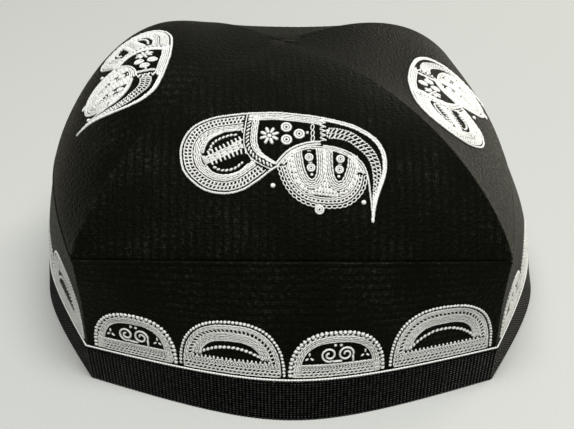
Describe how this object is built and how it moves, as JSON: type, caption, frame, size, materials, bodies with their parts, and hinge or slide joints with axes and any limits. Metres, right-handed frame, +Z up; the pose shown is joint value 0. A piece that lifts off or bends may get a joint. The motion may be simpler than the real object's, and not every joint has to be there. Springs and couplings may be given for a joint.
{
  "type": "four-sided quilted skullcap",
  "caption": "Folding four-sided quilted skullcap with panels meeting on ridges, an upright side band and a taped, piped lower edge. Worn on the crown of the head.",
  "frame": {"origin": "middle of the cap's box, on the surface that its rim stands on", "axes": "+Z up, from the rim to the crown. The front, the side shown in the picture, is towards -Y, and the wearer's left is towards +X."},
  "size_m": [0.1862, 0.184, 0.1001],
  "materials": {
    "quilted_cotton": "matt black quilted cotton",
    "ribbed_tape": "matt black ribbed tape",
    "white_thread": "white cotton thread with a slight sheen"
  },
  "bodies": {
    "root": {"crown_front": "quilted_cotton", "crown_right": "quilted_cotton", "crown_back": "quilted_cotton", "crown_left": "quilted_cotton", "side_band": "quilted_cotton", "edge_tape": "ribbed_tape", "edge_piping": "white_thread"}
  },
  "joints": []
}
